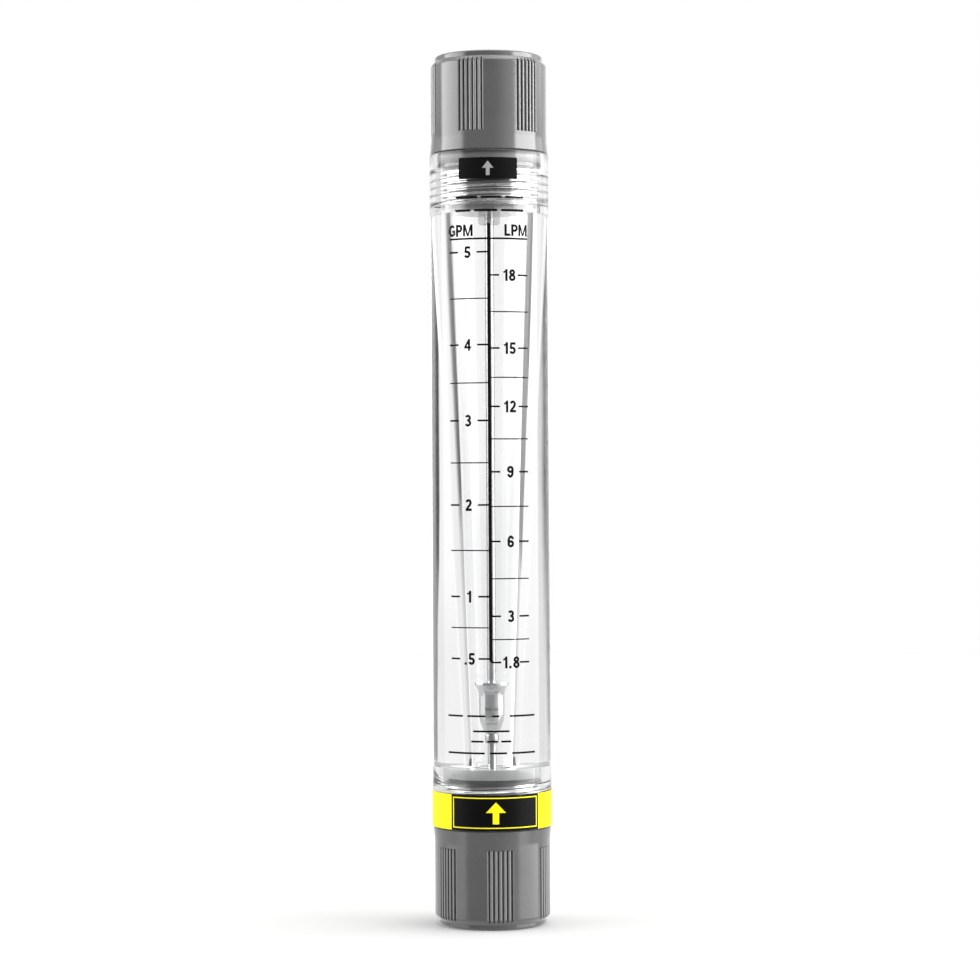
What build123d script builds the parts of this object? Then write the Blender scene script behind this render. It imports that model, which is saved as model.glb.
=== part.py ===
from build123d import *
import os

# Rotameter: a clear tapered flow tube between two ribbed pipe connectors, with a
# float that rides up a central guide rod.
# Millimetres. +Z is up, along the flow. The origin is the centre of the inlet end
# face, and the printed scale faces -Y.

# ---------------------------------------------------------------- overall sizes
OVERALL = 233.0  # end face to end face
BODY_LENGTH = 180.0  # clear body between the two connector flanges
BODY_D = 32.0  # clear body

CONNECTOR_OUT = (OVERALL - BODY_LENGTH) / 2  # what shows of each connector

# ------------------------------------------------------------------- flow tube
POCKET_DEPTH = 16.0  # threaded pocket in each end of the body
POCKET_R = 13.5  # root of the M27 x 2 internal thread
PILOT_R = 14.0  # smooth mouth of the pocket, where the O-ring seals
PILOT_DEPTH = 4.0
TAPER_R_LOW = 5.1  # tapered bore at its lower end
TAPER_R_HIGH = 10.6  # and at its upper end

Z_BODY_LOW = CONNECTOR_OUT
Z_BODY_HIGH = OVERALL - CONNECTOR_OUT
Z_FLOOR_LOW = Z_BODY_LOW + POCKET_DEPTH
Z_FLOOR_HIGH = Z_BODY_HIGH - POCKET_DEPTH

# ------------------------------------------------------------------ connectors
GRIP_R = 15.5  # ribbed barrel
RIM_R = 14.4  # stepped-in outer rim
RIM_LENGTH = 1.45
STEP_LENGTH = 1.25  # sloping step from rim to barrel
FLANGE_R = 15.8  # barrel flares to this at the body
FLARE_START = 22.6
PIPE_THREAD_R = 20.955 / 2  # G1/2 pipe thread, root of the internal thread
PIPE_THREAD_LENGTH = 16.0
WATERWAY_R = 8.0
SPIGOT_LENGTH = 13.0  # goes into the body
SPIGOT_R = 12.25  # root of the M27 x 2 external thread
GLAND_R = 11.6  # O-ring groove under the flange
GLAND_LENGTH = 3.0
LAND_R = 13.9  # collar between the O-ring and the thread
LAND_LENGTH = 0.8

GROOVE_WIDTH = 0.5  # grip grooves
GROOVE_FLOOR_R = 14.8
SHOULDER = 0.35  # the rounded shoulder on each side of a groove
SHOULDER_R = 0.457
SHOULDER_DROP = SHOULDER_R - (SHOULDER_R**2 - SHOULDER**2) ** 0.5
GROOVE_START = 0.9
GROOVE_END = 21.3
GROOVE_PITCH_DEG = 4.55
GROOVES_IN_GROUP = 6
GROOVE_GROUPS = 6
INLET_GROUP_DEG = 8.0 - 90.0  # middle of one group, measured from +X
OUTLET_GROUP_DEG = -18.5 - 90.0

# ---------------------------------------------------------------------- O-rings
O_RING_RADIAL = 2.38  # 22.4 x 2.65 ring, squeezed in its groove
O_RING_AXIAL = 2.86

# ---------------------------------------------------- guide rod and its holders
ROD_R = 1.2
HUB_R = 2.95
HOLDER_R = 13.3
HOLDER_THICK = 2.9
LOWER_RING_IN_R = 7.6
UPPER_RING_IN_R = 10.9
SPOKE_WIDTH = 1.7
SPOKE_THICK = 2.2
SPOKES = 3
UPPER_HUB_BOTTOM = 187.5  # also the float's upper stop
LOWER_HUB_BOTTOM = 36.5
ROD_BOTTOM = 38.0
ROD_TOP = 192.0

# ------------------------------------------------------------------------ float
FLOAT_BORE_R = 1.28  # runs on the rod with 0.08 mm all round
FLOAT_TOP = 65.1
FLOAT_BOTTOM = 51.0
HEAD_R = 4.65
STEM_R = 3.5
NOSE_R = 1.75

STOP_R = 1.9  # collar that the float rests on
STOP_TOP = FLOAT_BOTTOM - 0.05
STOP_LENGTH = 2.3

# ------------------------------------------------------------------- label band
LABEL_THICK = 0.08
LABEL_LOW = 26.6
LABEL_HIGH = 36.0
LABEL_GAP_DEG = 5.0  # where the ends of the band stop short of each other, at the back


def round_corners(sketch, corners, radius):
    """Round the profile's corners that lie at the given points."""
    chosen = [
        v
        for v in sketch.vertices()
        if any(abs(v.X - x) < 1e-4 and abs(v.Y - y) < 1e-4 for x, y in corners)
    ]
    fillet(chosen, radius=radius)


# ------------------------------------------------------------------ measuring_tube
# One turned clear solid: straight outside, a bore that widens steadily upwards,
# and a pocket in each end with a smooth mouth and a threaded length.
with BuildPart() as measuring_tube:
    with BuildSketch(Plane.XZ) as tube_profile:
        with BuildLine():
            Polyline(
                (TAPER_R_LOW, Z_FLOOR_LOW),
                (POCKET_R, Z_FLOOR_LOW),
                (POCKET_R, Z_BODY_LOW + PILOT_DEPTH),
                (PILOT_R, Z_BODY_LOW + PILOT_DEPTH),
                (PILOT_R, Z_BODY_LOW),
                (BODY_D / 2, Z_BODY_LOW),
                (BODY_D / 2, Z_BODY_HIGH),
                (PILOT_R, Z_BODY_HIGH),
                (PILOT_R, Z_BODY_HIGH - PILOT_DEPTH),
                (POCKET_R, Z_BODY_HIGH - PILOT_DEPTH),
                (POCKET_R, Z_FLOOR_HIGH),
                (TAPER_R_HIGH, Z_FLOOR_HIGH),
                close=True,
            )
        make_face()
        round_corners(
            tube_profile,
            [(BODY_D / 2, Z_BODY_LOW), (BODY_D / 2, Z_BODY_HIGH)],
            0.35,
        )
        round_corners(
            tube_profile,
            [(PILOT_R, Z_BODY_LOW), (PILOT_R, Z_BODY_HIGH)],
            0.3,
        )
        round_corners(tube_profile, [(TAPER_R_LOW, Z_FLOOR_LOW)], 0.4)
    revolve(axis=Axis.Z)


# -------------------------------------------------------------------- connectors
# The outline of one grip groove, straight-sided below rounded shoulders, which
# leave a round-topped rib between two grooves. It lies across +X and is cut at
# every groove's angle.
with BuildSketch() as groove_outline:
    with BuildLine():
        mouth = GROOVE_WIDTH / 2 + SHOULDER
        edge_r = GRIP_R - SHOULDER_DROP
        Polyline(
            (GRIP_R, mouth),
            (GRIP_R + 1.0, mouth),
            (GRIP_R + 1.0, -mouth),
            (GRIP_R, -mouth),
        )
        RadiusArc((GRIP_R, mouth), (edge_r, GROOVE_WIDTH / 2), SHOULDER_R)
        Polyline(
            (edge_r, GROOVE_WIDTH / 2),
            (GROOVE_FLOOR_R + 0.1, GROOVE_WIDTH / 2),
            (GROOVE_FLOOR_R, GROOVE_WIDTH / 2 - 0.1),
            (GROOVE_FLOOR_R, 0.1 - GROOVE_WIDTH / 2),
            (GROOVE_FLOOR_R + 0.1, -GROOVE_WIDTH / 2),
            (edge_r, -GROOVE_WIDTH / 2),
        )
        RadiusArc((edge_r, -GROOVE_WIDTH / 2), (GRIP_R, -mouth), SHOULDER_R)
    make_face()


def make_connector(end_z, inward, first_group_deg):
    """One pipe connector.

    t runs from the outer end face (t = 0, at height end_z) towards the body.
    inward is +1 where that is upwards and -1 where it is downwards.
    """

    def z(t):
        return end_z + inward * t

    spigot_end = CONNECTOR_OUT + SPIGOT_LENGTH
    land = CONNECTOR_OUT + GLAND_LENGTH
    with BuildPart() as connector:
        # Barrel, flange, O-ring groove, threaded spigot and the passage through.
        with BuildSketch(Plane.XZ) as profile:
            with BuildLine():
                Polyline(
                    (PIPE_THREAD_R + 0.6, z(0)),
                    (RIM_R, z(0)),
                    (RIM_R, z(RIM_LENGTH)),
                    (GRIP_R, z(RIM_LENGTH + STEP_LENGTH)),
                    (GRIP_R, z(FLARE_START)),
                    (FLANGE_R, z(CONNECTOR_OUT - 0.4)),
                    (FLANGE_R - 0.35, z(CONNECTOR_OUT)),
                    (GLAND_R, z(CONNECTOR_OUT)),
                    (GLAND_R, z(land)),
                    (LAND_R, z(land)),
                    (LAND_R, z(land + LAND_LENGTH)),
                    (SPIGOT_R, z(land + LAND_LENGTH + 0.5)),
                    (SPIGOT_R, z(spigot_end - 0.8)),
                    (SPIGOT_R - 0.8, z(spigot_end)),
                    (WATERWAY_R, z(spigot_end)),
                    (WATERWAY_R, z(PIPE_THREAD_LENGTH)),
                    (PIPE_THREAD_R, z(PIPE_THREAD_LENGTH)),
                    (PIPE_THREAD_R, z(0.6)),
                    close=True,
                )
            make_face()
            round_corners(profile, [(RIM_R, z(0))], 0.6)
            round_corners(profile, [(RIM_R, z(RIM_LENGTH))], 0.3)
            round_corners(profile, [(GRIP_R, z(RIM_LENGTH + STEP_LENGTH))], 0.7)
            round_corners(profile, [(GRIP_R, z(FLARE_START))], 8.0)
            round_corners(profile, [(GLAND_R, z(CONNECTOR_OUT)), (GLAND_R, z(land))], 0.25)
            round_corners(profile, [(WATERWAY_R, z(spigot_end))], 0.4)
        revolve(axis=Axis.Z)
        # Grip grooves: they run out through the sloping step at the rim, and end
        # square below the flange.
        with BuildSketch(Plane.XY.offset(z(GROOVE_START))):
            for group in range(GROOVE_GROUPS):
                middle = first_group_deg + group * 360.0 / GROOVE_GROUPS
                first = middle - GROOVE_PITCH_DEG * (GROOVES_IN_GROUP - 1) / 2
                with PolarLocations(
                    0,
                    GROOVES_IN_GROUP,
                    start_angle=first,
                    angular_range=GROOVE_PITCH_DEG * (GROOVES_IN_GROUP - 1),
                    endpoint=True,
                ):
                    add(groove_outline.sketch)
        extrude(amount=inward * (GROOVE_END - GROOVE_START), mode=Mode.SUBTRACT)
    return connector


inlet_connector = make_connector(0.0, 1, INLET_GROUP_DEG)
outlet_connector = make_connector(OVERALL, -1, OUTLET_GROUP_DEG)


# ------------------------------------------------------------------------ O-rings
# Each is squeezed oval between the floor of its groove and the body's smooth mouth.
def make_o_ring(middle_z):
    with BuildPart() as ring:
        with BuildSketch(Plane.XZ):
            with Locations(((GLAND_R + PILOT_R) / 2, middle_z)):
                Ellipse(O_RING_RADIAL / 2, O_RING_AXIAL / 2)
        revolve(axis=Axis.Z)
    return ring


inlet_o_ring = make_o_ring(Z_BODY_LOW + GLAND_LENGTH / 2)
outlet_o_ring = make_o_ring(Z_BODY_HIGH - GLAND_LENGTH / 2)


# -------------------------------------------------------------------- rod holders
# A spider: a ring that is clamped between the connector's spigot and the end of the
# bore, three spokes, and a hub with a blind hole for the end of the rod.
with BuildPart() as lower_rod_holder:
    with BuildSketch(Plane.XZ) as lower_ring:
        with BuildLine():
            Polyline(
                (LOWER_RING_IN_R, Z_FLOOR_LOW - HOLDER_THICK),
                (HOLDER_R, Z_FLOOR_LOW - HOLDER_THICK),
                (HOLDER_R, Z_FLOOR_LOW),
                (LOWER_RING_IN_R, Z_FLOOR_LOW),
                close=True,
            )
        make_face()
        round_corners(
            lower_ring,
            [(HOLDER_R, Z_FLOOR_LOW), (HOLDER_R, Z_FLOOR_LOW - HOLDER_THICK)],
            0.4,
        )
    revolve(axis=Axis.Z)
    with BuildSketch(Plane.XZ) as lower_hub:
        with BuildLine():
            Polyline(
                (0, LOWER_HUB_BOTTOM),
                (HUB_R, LOWER_HUB_BOTTOM),
                (HUB_R, Z_FLOOR_LOW),
                (0, Z_FLOOR_LOW),
                close=True,
            )
        make_face()
        round_corners(lower_hub, [(HUB_R, LOWER_HUB_BOTTOM)], 1.6)
        round_corners(lower_hub, [(HUB_R, Z_FLOOR_LOW)], 0.5)
    revolve(axis=Axis.Z)
    with BuildSketch(Plane.XY.offset(Z_FLOOR_LOW - HOLDER_THICK)):
        with PolarLocations(0, SPOKES, start_angle=90.0):
            Rectangle(LOWER_RING_IN_R + 1.0, SPOKE_WIDTH, align=(Align.MIN, Align.CENTER))
    extrude(amount=SPOKE_THICK)
    with BuildSketch(Plane.XY.offset(ROD_BOTTOM)):
        Circle(ROD_R)
    extrude(amount=Z_FLOOR_LOW - ROD_BOTTOM, mode=Mode.SUBTRACT)

with BuildPart() as upper_rod_holder:
    with BuildSketch(Plane.XZ) as upper_ring:
        with BuildLine():
            Polyline(
                (UPPER_RING_IN_R, Z_FLOOR_HIGH),
                (HOLDER_R, Z_FLOOR_HIGH),
                (HOLDER_R, Z_FLOOR_HIGH + HOLDER_THICK),
                (UPPER_RING_IN_R, Z_FLOOR_HIGH + HOLDER_THICK),
                close=True,
            )
        make_face()
        round_corners(
            upper_ring,
            [(HOLDER_R, Z_FLOOR_HIGH), (HOLDER_R, Z_FLOOR_HIGH + HOLDER_THICK)],
            0.4,
        )
    revolve(axis=Axis.Z)
    with BuildSketch(Plane.XZ) as upper_hub:
        with BuildLine():
            Polyline(
                (0, UPPER_HUB_BOTTOM),
                (HUB_R, UPPER_HUB_BOTTOM),
                (HUB_R, Z_FLOOR_HIGH + HOLDER_THICK),
                (0, Z_FLOOR_HIGH + HOLDER_THICK),
                close=True,
            )
        make_face()
        round_corners(upper_hub, [(HUB_R, UPPER_HUB_BOTTOM)], 0.9)
        round_corners(upper_hub, [(HUB_R, Z_FLOOR_HIGH + HOLDER_THICK)], 0.5)
    revolve(axis=Axis.Z)
    with BuildSketch(Plane.XY.offset(Z_FLOOR_HIGH + HOLDER_THICK - SPOKE_THICK)):
        with PolarLocations(0, SPOKES, start_angle=90.0):
            Rectangle(UPPER_RING_IN_R + 1.0, SPOKE_WIDTH, align=(Align.MIN, Align.CENTER))
    extrude(amount=SPOKE_THICK)
    with BuildSketch(Plane.XY.offset(UPPER_HUB_BOTTOM)):
        Circle(ROD_R)
    extrude(amount=ROD_TOP - UPPER_HUB_BOTTOM, mode=Mode.SUBTRACT)


# ---------------------------------------------------------------------- guide_rod
with BuildPart() as guide_rod:
    with BuildSketch(Plane.XY.offset(ROD_BOTTOM)):
        Circle(ROD_R)
    extrude(amount=ROD_TOP - ROD_BOTTOM)
    chamfer(guide_rod.edges().filter_by(GeomType.CIRCLE), length=0.3)


# --------------------------------------------------------------------- lower_stop
# A short collar pressed on the rod, with both edges broken.
with BuildPart() as lower_stop:
    with BuildSketch(Plane.XZ) as stop_profile:
        with BuildLine():
            Polyline(
                (ROD_R, STOP_TOP - STOP_LENGTH),
                (STOP_R, STOP_TOP - STOP_LENGTH),
                (STOP_R, STOP_TOP),
                (ROD_R, STOP_TOP),
                close=True,
            )
        make_face()
        round_corners(
            stop_profile, [(STOP_R, STOP_TOP), (STOP_R, STOP_TOP - STOP_LENGTH)], 0.25
        )
    revolve(axis=Axis.Z)


# -------------------------------------------------------------------------- float
# Turned in one piece: a thin sharp-edged head, which is read against the scale, a
# hollowed flare, a straight stem and a rounded nose.
with BuildPart() as float_body:
    with BuildSketch(Plane.XZ):
        with BuildLine():
            head = Polyline(
                (FLOAT_BORE_R, FLOAT_TOP - 0.25),
                (FLOAT_BORE_R + 0.25, FLOAT_TOP),
                (HEAD_R - 0.12, FLOAT_TOP),
                (HEAD_R, FLOAT_TOP - 0.12),
                (HEAD_R - 0.05, FLOAT_TOP - 0.8),
                (HEAD_R - 0.25, FLOAT_TOP - 1.0),
            )
            ThreePointArc(
                (HEAD_R - 0.25, FLOAT_TOP - 1.0),
                (3.79, FLOAT_TOP - 2.15),
                (STEM_R, FLOAT_TOP - 3.9),
            )
            Line((STEM_R, FLOAT_TOP - 3.9), (STEM_R, 56.6))
            ThreePointArc((STEM_R, 56.6), (3.02, 53.9), (NOSE_R, FLOAT_BOTTOM + 0.2))
            Polyline(
                (NOSE_R, FLOAT_BOTTOM + 0.2),
                (NOSE_R - 0.18, FLOAT_BOTTOM),
                (FLOAT_BORE_R, FLOAT_BOTTOM),
                (FLOAT_BORE_R, FLOAT_TOP - 0.25),
            )
        make_face()
    revolve(axis=Axis.Z)


# --------------------------------------------------------------------- label_band
# A printed film wrapped round the foot of the body, with its two ends at the back.
with BuildPart() as label_band:
    with BuildSketch(Plane.XY.offset(LABEL_LOW)):
        Circle(BODY_D / 2 + LABEL_THICK)
        Circle(BODY_D / 2, mode=Mode.SUBTRACT)
    extrude(amount=LABEL_HIGH - LABEL_LOW)
    with BuildSketch(Plane.XY.offset(LABEL_LOW - 1.0)):
        with Locations((0, BODY_D / 2)):
            Rectangle(2 * 3.14159265 * BODY_D / 2 * LABEL_GAP_DEG / 360.0, 4.0)
    extrude(amount=LABEL_HIGH - LABEL_LOW + 2.0, mode=Mode.SUBTRACT)


# -------------------------------------------------------------------------- write
measuring_tube.part.label = "measuring_tube"
inlet_connector.part.label = "inlet_connector"
outlet_connector.part.label = "outlet_connector"
inlet_o_ring.part.label = "inlet_o_ring"
outlet_o_ring.part.label = "outlet_o_ring"
lower_rod_holder.part.label = "lower_rod_holder"
upper_rod_holder.part.label = "upper_rod_holder"
guide_rod.part.label = "guide_rod"
lower_stop.part.label = "lower_stop"
float_body.part.label = "float"
label_band.part.label = "label_band"

os.makedirs("parts", exist_ok=True)
export_step(measuring_tube.part, "parts/measuring_tube.step")
export_step(inlet_connector.part, "parts/inlet_connector.step")
export_step(outlet_connector.part, "parts/outlet_connector.step")
export_step(inlet_o_ring.part, "parts/inlet_o_ring.step")
export_step(outlet_o_ring.part, "parts/outlet_o_ring.step")
export_step(lower_rod_holder.part, "parts/lower_rod_holder.step")
export_step(upper_rod_holder.part, "parts/upper_rod_holder.step")
export_step(guide_rod.part, "parts/guide_rod.step")
export_step(lower_stop.part, "parts/lower_stop.step")
export_step(float_body.part, "parts/float.step")
export_step(label_band.part, "parts/label_band.step")
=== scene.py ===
import math

import bmesh
import bpy
from mathutils import Matrix, Vector
from mathutils.geometry import delaunay_2d_cdt


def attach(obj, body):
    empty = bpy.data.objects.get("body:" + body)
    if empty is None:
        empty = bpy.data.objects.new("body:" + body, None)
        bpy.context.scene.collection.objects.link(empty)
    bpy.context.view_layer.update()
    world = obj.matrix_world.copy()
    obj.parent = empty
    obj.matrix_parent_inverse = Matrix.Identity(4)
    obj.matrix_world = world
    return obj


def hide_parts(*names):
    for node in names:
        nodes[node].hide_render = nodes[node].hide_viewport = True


# Looks of the rotameter: clear threaded body, ribbed connectors, polished float and rod,
# printed scale and label, in a plain bright studio.

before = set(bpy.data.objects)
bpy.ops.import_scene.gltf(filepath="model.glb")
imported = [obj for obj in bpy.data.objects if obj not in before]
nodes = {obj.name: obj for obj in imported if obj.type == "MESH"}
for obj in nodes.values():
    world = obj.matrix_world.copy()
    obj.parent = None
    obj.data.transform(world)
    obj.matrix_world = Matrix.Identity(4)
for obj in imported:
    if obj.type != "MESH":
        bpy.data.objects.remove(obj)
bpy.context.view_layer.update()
scene = bpy.context.scene

MM = 0.001

# ------------------------------------------------------------------ sizes, millimetres
BODY_R = 16.0
BODY_LOW, BODY_HIGH = 26.5, 206.5
FLOOR_LOW, FLOOR_HIGH = 42.5, 190.5
POCKET_R, PILOT_R = 13.5, 14.0
PILOT_DEPTH = 4.0
THREAD_END_LOW, THREAD_END_HIGH = 12.2, 14.2
TAPER_LOW, TAPER_HIGH = 5.1, 10.6
BODY_PITCH = 2.0
PIPE_PITCH = 25.4 / 14
OVERALL = 233.0
ROD_R = 1.2
RIBS_LOW, RIBS_HIGH = 38.0, 11.5  # middle of one group of ribs on each connector, degrees


# ------------------------------------------------------------------------ mesh helpers
def finish_mesh(name, bm, materials, sharp_deg=35.0, body="meter_body"):
    """Weld, face outwards, scale to metres, shade smooth with sharp corners, and ride."""
    bmesh.ops.remove_doubles(bm, verts=bm.verts, dist=2e-4)
    bmesh.ops.dissolve_degenerate(bm, edges=bm.edges, dist=1e-5)
    bmesh.ops.recalc_face_normals(bm, faces=bm.faces)
    me = bpy.data.meshes.new(name)
    bm.to_mesh(me)
    bm.free()
    me.transform(Matrix.Scale(MM, 4))
    for m in materials:
        me.materials.append(m)
    me.polygons.foreach_set("use_smooth", [True] * len(me.polygons))
    me.set_sharp_from_angle(angle=math.radians(sharp_deg))
    me.update()
    ob = bpy.data.objects.new(name, me)
    scene.collection.objects.link(ob)
    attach(ob, body)
    return ob


def arc(cx, cz, r, a0, a1, n):
    """Points of an arc in the profile plane, angles in degrees from +r towards +z."""
    out = []
    for k in range(n + 1):
        a = math.radians(a0 + (a1 - a0) * k / n)
        out.append((cx + r * math.cos(a), cz + r * math.sin(a)))
    return out


def arc_through(p0, p1, p2, n):
    """Points of the circular arc from p0 through p1 to p2."""
    ax, ay = p0
    bx, by = p1
    cx, cy = p2
    d = 2 * (ax * (by - cy) + bx * (cy - ay) + cx * (ay - by))
    ux = ((ax * ax + ay * ay) * (by - cy) + (bx * bx + by * by) * (cy - ay) + (cx * cx + cy * cy) * (ay - by)) / d
    uy = ((ax * ax + ay * ay) * (cx - bx) + (bx * bx + by * by) * (ax - cx) + (cx * cx + cy * cy) * (bx - ax)) / d
    a0 = math.atan2(ay - uy, ax - ux)
    a1 = math.atan2(by - uy, bx - ux)
    a2 = math.atan2(cy - uy, cx - ux)

    def turn(a, b):
        return (b - a + math.pi) % (2 * math.pi) - math.pi

    total = turn(a0, a1) + turn(a1, a2)
    r = math.hypot(ax - ux, ay - uy)
    return [(ux + r * math.cos(a0 + total * k / n), uy + r * math.sin(a0 + total * k / n)) for k in range(n + 1)]


def between(p, q, n):
    """n - 1 points strictly between p and q."""
    return [(p[0] + (q[0] - p[0]) * k / n, p[1] + (q[1] - p[1]) * k / n) for k in range(1, n)]


def lathe_rows(bm, points, n, material=0, closed=False):
    """Faces turned from a profile of (r, z) points round the Z axis. Two points on the
    axis end a solid shape. Returns nothing: the rows are welded later."""
    rings = []
    for r, z in points:
        if r < 1e-6:
            v = bm.verts.new((0, 0, z))
            rings.append([v] * n)
        else:
            rings.append([
                bm.verts.new((r * math.cos(2 * math.pi * i / n), r * math.sin(2 * math.pi * i / n), z))
                for i in range(n)
            ])
    pairs = list(zip(rings, rings[1:]))
    if closed:
        pairs.append((rings[-1], rings[0]))
    for a, b in pairs:
        for i in range(n):
            j = (i + 1) % n
            corners = []
            for v in (a[i], a[j], b[j], b[i]):
                if v not in corners:
                    corners.append(v)
            if len(corners) > 2:
                f = bm.faces.new(corners)
                f.material_index = material


# One turn of a 60 degree thread, as (distance along the pitch of 1, height 0 to 1),
# starting in the middle of the trough.
THREAD_60 = [
    (0.0, 0.0), (0.045, 0.0), (0.085, 0.06), (0.35, 0.93), (0.39, 1.0),
    (0.5, 1.0), (0.61, 1.0), (0.65, 0.93), (0.915, 0.06), (0.955, 0.0),
]


def thread_rows(bm, r_root, depth, z_low, z_high, pitch, n, fade, material=0):
    """A sheared grid that follows a right-hand thread standing inwards from r_root."""
    per = len(THREAD_60)
    turns = int(math.ceil((z_high - z_low) / pitch)) + 1
    total = per * turns

    def smooth(x):
        x = min(1.0, max(0.0, x))
        return x * x * (3 - 2 * x)

    grid = []
    for i in range(n):
        a = 2 * math.pi * i / n
        column = []
        for m in range(total + 1):
            u, h = THREAD_60[m % per]
            z = z_low + pitch * (m // per + u - 1 + i / n)
            if z <= z_low or z >= z_high:
                z = min(z_high, max(z_low, z))
                h = 0.0
            h *= smooth((z - z_low) / fade) * smooth((z_high - z) / fade)
            r = r_root - depth * h
            column.append(bm.verts.new((r * math.cos(a), r * math.sin(a), z)))
        grid.append(column)
    for i in range(n):
        shift = 0 if i + 1 < n else per
        left, right = grid[i], grid[(i + 1) % n]
        for m in range(total):
            k0, k1 = min(total, m + shift), min(total, m + 1 + shift)
            corners = []
            for v in (left[m], right[k0], right[k1], left[m + 1]):
                if v not in corners:
                    corners.append(v)
            if len(corners) > 2:
                f = bm.faces.new(corners)
                f.material_index = material


def helical_ridge(name, r_wall, r_crest, z_low, z_high, pitch, half_root, half_crest, phase_z, material, n=120):
    """A closed helical ridge, from the wall at r_wall to its crest at r_crest, that
    starts and ends by sinking into the wall."""
    bm = bmesh.new()
    turns = (z_high - z_low) / pitch
    steps = int(turns * n)
    fade = n // 3
    shape = [(-half_root, 0.0), (-half_crest - 0.06, 0.92), (-half_crest, 1.0), (0.0, 1.0),
             (half_crest, 1.0), (half_crest + 0.06, 0.92), (half_root, 0.0)]
    rings = []
    for s in range(steps + 1):
        a = 2 * math.pi * s / n
        grow = min(1.0, s / fade, (steps - s) / fade)
        grow = grow * grow * (3 - 2 * grow)
        z0 = z_low + pitch * s / n
        ring = []
        for dz, h in shape:
            r = r_wall + (r_crest - r_wall) * h * max(grow, 0.02)
            wz = dz * (0.35 + 0.65 * grow)
            b = a + 2 * math.pi * phase_z / pitch
            ring.append(bm.verts.new((r * math.cos(b), r * math.sin(b), z0 + wz)))
        rings.append(ring)
    k = len(shape)
    for p, q in zip(rings, rings[1:]):
        for i in range(k):
            j = (i + 1) % k
            bm.faces.new((p[i], p[j], q[j], q[i]))
    bm.faces.new(rings[0])
    bm.faces.new(rings[-1])
    return finish_mesh(name, bm, [material], 40.0)


# -------------------------------------------------------------------- material helpers
class Shader:
    """A few lines that keep the node trees below short."""

    def __init__(self, name, world=False):
        self.owner = bpy.data.worlds.new(name) if world else bpy.data.materials.new(name)
        self.owner.use_nodes = True
        self.tree = self.owner.node_tree
        self.tree.nodes.clear()

    def add(self, kind, **values):
        node = self.tree.nodes.new(kind)
        for key, value in values.items():
            setattr(node, key, value)
        return node

    def link(self, a, b):
        self.tree.links.new(a, b)

    def put(self, socket, value):
        if hasattr(value, "is_output"):
            self.tree.links.new(value, socket)
        else:
            socket.default_value = value

    def math(self, op, a, b=None, c=None, clamp=False):
        node = self.add("ShaderNodeMath", operation=op, use_clamp=clamp)
        for socket, value in zip(node.inputs, (a, b, c)):
            if value is not None:
                self.put(socket, value)
        return node.outputs[0]

    def ramp(self, value, low, high, to_low=0.0, to_high=1.0, smooth=True):
        node = self.add("ShaderNodeMapRange", interpolation_type="SMOOTHSTEP" if smooth else "LINEAR")
        node.clamp = True
        self.put(node.inputs["Value"], value)
        for key, v in (("From Min", low), ("From Max", high), ("To Min", to_low), ("To Max", to_high)):
            self.put(node.inputs[key], v)
        return node.outputs["Result"]

    def noise(self, vector, scale, detail=2.0, rough=0.5):
        node = self.add("ShaderNodeTexNoise")
        self.link(vector, node.inputs["Vector"])
        node.inputs["Scale"].default_value = scale
        node.inputs["Detail"].default_value = detail
        node.inputs["Roughness"].default_value = rough
        return node.outputs["Fac"]

    def mix(self, factor, a, b):
        node = self.add("ShaderNodeMix", data_type="RGBA")
        self.put(node.inputs["Factor"], factor)
        self.put(node.inputs["A"], a)
        self.put(node.inputs["B"], b)
        # the colour sockets are the ones in use for RGBA
        for key, v in (("A", a), ("B", b)):
            for socket in node.inputs:
                if socket.name == key and socket.type == "RGBA":
                    self.put(socket, v)
        return [o for o in node.outputs if o.type == "RGBA"][0]

    def bump(self, height, distance, strength=1.0, normal=None):
        node = self.add("ShaderNodeBump")
        node.inputs["Strength"].default_value = strength
        node.inputs["Distance"].default_value = distance
        self.link(height, node.inputs["Height"])
        if normal is not None:
            self.link(normal, node.inputs["Normal"])
        return node.outputs["Normal"]

    def place(self, scale=(1.0, 1.0, 1.0)):
        coord = self.add("ShaderNodeTexCoord")
        mapping = self.add("ShaderNodeMapping")
        mapping.inputs["Scale"].default_value = scale
        self.link(coord.outputs["Object"], mapping.inputs["Vector"])
        return mapping.outputs["Vector"]

    def principled(self, **values):
        node = self.add("ShaderNodeBsdfPrincipled")
        for key, value in values.items():
            self.put(node.inputs[key.replace("_", " ")], value)
        return node

    def out(self, shader):
        node = self.add("ShaderNodeOutputMaterial")
        self.link(shader, node.inputs["Surface"])
        return self.owner


def grey(v):
    return (v, v, v, 1.0)


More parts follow.
